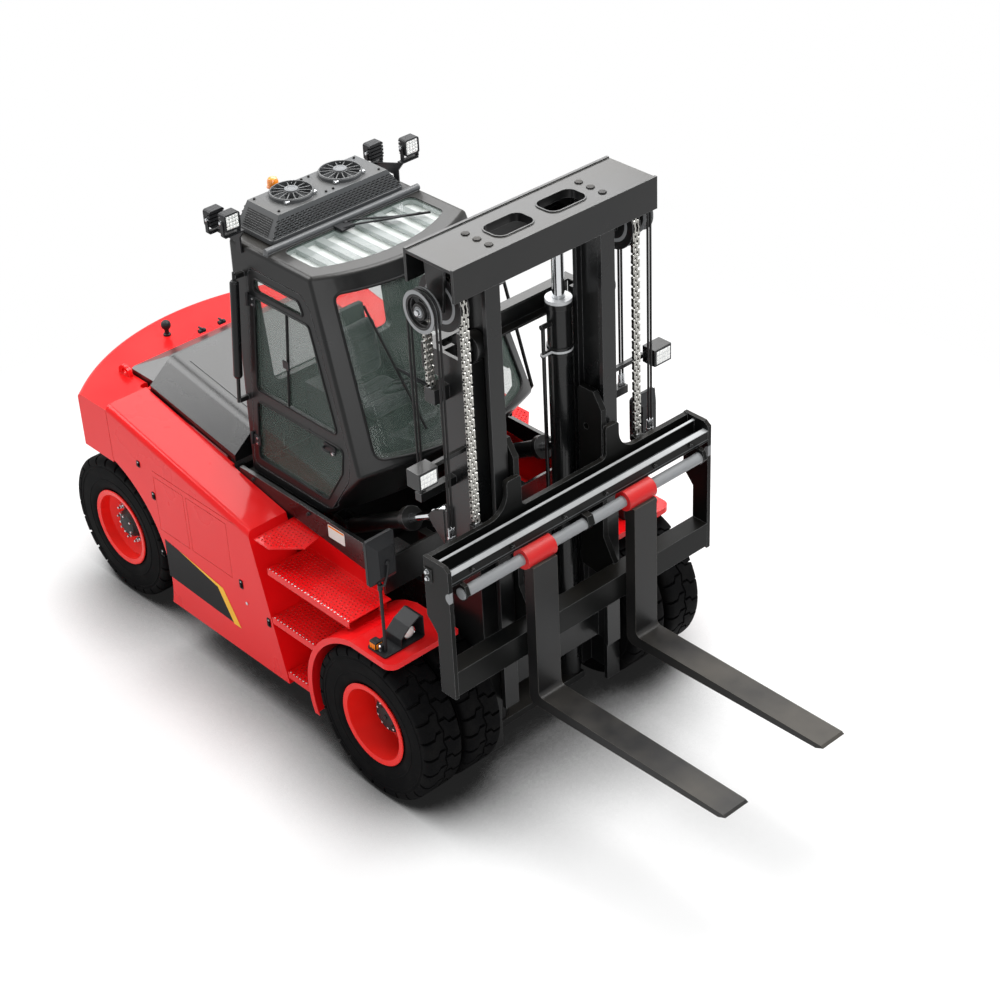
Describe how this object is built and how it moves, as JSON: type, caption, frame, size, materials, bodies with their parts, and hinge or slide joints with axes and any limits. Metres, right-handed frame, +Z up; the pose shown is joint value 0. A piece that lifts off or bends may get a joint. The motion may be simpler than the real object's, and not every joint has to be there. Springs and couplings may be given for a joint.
{
  "type": "heavy counterbalanced forklift truck",
  "caption": "Heavy counterbalance forklift with a closed cab, twin front wheels, rear steering, a two-stage tilting mast and a shaft-hung fork carriage.",
  "frame": {"origin": "middle of the machine's bounding box, on the ground", "axes": "+X forward towards the forks, +Y to the driver's left, +Z up"},
  "size_m": [6.115, 2.54, 3.923],
  "materials": {
    "red_paint": "gloss red machine paint",
    "black_paint": "satin black paint",
    "mast_paint": "semi-gloss black paint",
    "rim_paint": "red rim paint",
    "cast_black": "painted casting",
    "tyre": "treaded pneumatic tyre",
    "glass": "tinted safety glass",
    "chrome": "ground and plated rod",
    "black_plastic": "moulded plastic",
    "seat_fabric": "woven seat cover",
    "chain_steel": "oiled leaf chain",
    "hose_rubber": "hydraulic hose",
    "fork_paint": "black paint worn on the blades"
  },
  "bodies": {
    "chassis": {"main_frame": "black_paint", "drive_axle": "cast_black", "steer_axle": "cast_black", "counterweight": "red_paint", "side_panels": "red_paint", "front_fenders": "red_paint", "radiator_cover": "black_paint", "engine_block": "cast_black", "cab_shell": "black_paint", "cab_glass": "glass", "operator_seat": "black_plastic", "seat_cushion": "seat_fabric", "dashboard": "black_plastic", "air_conditioner": "black_paint", "work_lamps": "black_plastic", "mirrors": "black_plastic"},
    "engine_hood": {"hood": "black_paint"},
    "right_door": {"cab_door_right": "black_paint", "door_glass_right": "glass"},
    "left_door": {"cab_door_left": "black_paint", "door_glass_left": "glass"},
    "right_front_wheel": {"front_tyres_right": "tyre", "front_rims_right": "rim_paint"},
    "left_front_wheel": {"front_tyres_left": "tyre", "front_rims_left": "rim_paint"},
    "right_knuckle": {"steer_knuckle_right": "cast_black"},
    "left_knuckle": {"steer_knuckle_left": "cast_black"},
    "right_rear_wheel": {"rear_tyre_right": "tyre", "rear_rim_right": "rim_paint"},
    "left_rear_wheel": {"rear_tyre_left": "tyre", "rear_rim_left": "rim_paint"},
    "outer_uprights": {"outer_mast": "mast_paint", "lift_cylinders": "mast_paint"},
    "inner_uprights": {"inner_mast": "mast_paint", "lift_rods": "chrome", "mast_sheaves": "cast_black", "lift_chains": "chain_steel", "mast_hoses": "hose_rubber"},
    "fork_carriage": {"carriage": "mast_paint", "fork_right": "fork_paint", "fork_left": "fork_paint"},
    "right_tilt_barrel": {"tilt_cylinder_right": "mast_paint"},
    "left_tilt_barrel": {"tilt_cylinder_left": "mast_paint"},
    "right_tilt_piston": {"tilt_rod_right": "chrome"},
    "left_tilt_piston": {"tilt_rod_left": "chrome"}
  },
  "joints": [
    {"name": "hood_open", "type": "hinge", "parent": "chassis", "child": "engine_hood", "pos_m": [-2.2075, 0, 1.9], "axis": [0, -1, 0], "range_deg": [0, 38]},
    {"name": "left_door_swing", "type": "hinge", "parent": "chassis", "child": "left_door", "pos_m": [-1.0405, 0.74347, 2.35085], "axis": [0, -0.0855, 0.9963], "range_deg": [0, 80]},
    {"name": "right_door_swing", "type": "hinge", "parent": "chassis", "child": "right_door", "pos_m": [-1.0405, -0.74347, 2.35085], "axis": [0, -0.0855, -0.9963], "range_deg": [0, 80]},
    {"name": "left_front_wheel_roll", "type": "hinge", "parent": "chassis", "child": "left_front_wheel", "pos_m": [0.6225, 0.934, 0.5625], "axis": [0, 1, 0], "continuous": true},
    {"name": "right_front_wheel_roll", "type": "hinge", "parent": "chassis", "child": "right_front_wheel", "pos_m": [0.6225, -0.934, 0.5625], "axis": [0, 1, 0], "continuous": true},
    {"name": "left_steer", "type": "hinge", "parent": "chassis", "child": "left_knuckle", "pos_m": [-2.4675, 0.73, 0.5625], "axis": [0, 0, 1], "range_deg": [-60, 60]},
    {"name": "right_steer", "type": "hinge", "parent": "chassis", "child": "right_knuckle", "pos_m": [-2.4675, -0.73, 0.5625], "axis": [0, 0, 1], "range_deg": [-60, 60]},
    {"name": "left_rear_wheel_roll", "type": "hinge", "parent": "left_knuckle", "child": "left_rear_wheel", "pos_m": [-2.4675, 0.948, 0.5625], "axis": [0, 1, 0], "continuous": true},
    {"name": "right_rear_wheel_roll", "type": "hinge", "parent": "right_knuckle", "child": "right_rear_wheel", "pos_m": [-2.4675, -0.948, 0.5625], "axis": [0, 1, 0], "continuous": true},
    {"name": "mast_tilt", "type": "hinge", "parent": "chassis", "child": "outer_uprights", "pos_m": [0.6225, 0, 0.5625], "axis": [0, 1, 0], "range_deg": [-12, 6]},
    {"name": "mast_lift", "type": "slide", "parent": "outer_uprights", "child": "inner_uprights", "axis": [0, 0, 1], "range_m": [-0.36, 1.12]},
    {"name": "carriage_lift", "type": "slide", "parent": "inner_uprights", "child": "fork_carriage", "axis": [0, 0, 1], "range_m": [-0.36, 1.12], "deforming": ["lift_chains", "mast_hoses"]},
    {"name": "left_tilt_swing", "type": "hinge", "parent": "chassis", "child": "left_tilt_barrel", "pos_m": [-0.3075, 0.585, 1.36], "axis": [0, 1, 0], "range_deg": [-8, 4.2]},
    {"name": "right_tilt_swing", "type": "hinge", "parent": "chassis", "child": "right_tilt_barrel", "pos_m": [-0.3075, -0.585, 1.36], "axis": [0, 1, 0], "range_deg": [-8, 4.2]},
    {"name": "left_tilt_stroke", "type": "slide", "parent": "left_tilt_barrel", "child": "left_tilt_piston", "axis": [0.8696, 0, 0.4937], "range_m": [-0.246, 0.124]},
    {"name": "right_tilt_stroke", "type": "slide", "parent": "right_tilt_barrel", "child": "right_tilt_piston", "axis": [0.8696, 0, 0.4937], "range_m": [-0.246, 0.124]}
  ],
  "couplings": [
    {"joint": "right_steer", "follows": "left_steer", "ratio": 1},
    {"joint": "carriage_lift", "follows": "mast_lift", "ratio": 1},
    {"joint": "left_tilt_swing", "follows": "mast_tilt", "ratio": 0.637},
    {"joint": "right_tilt_swing", "follows": "mast_tilt", "ratio": 0.637},
    {"joint": "left_tilt_stroke", "follows": "mast_tilt", "m_per_rad": 1.168},
    {"joint": "right_tilt_stroke", "follows": "mast_tilt", "m_per_rad": 1.168}
  ]
}
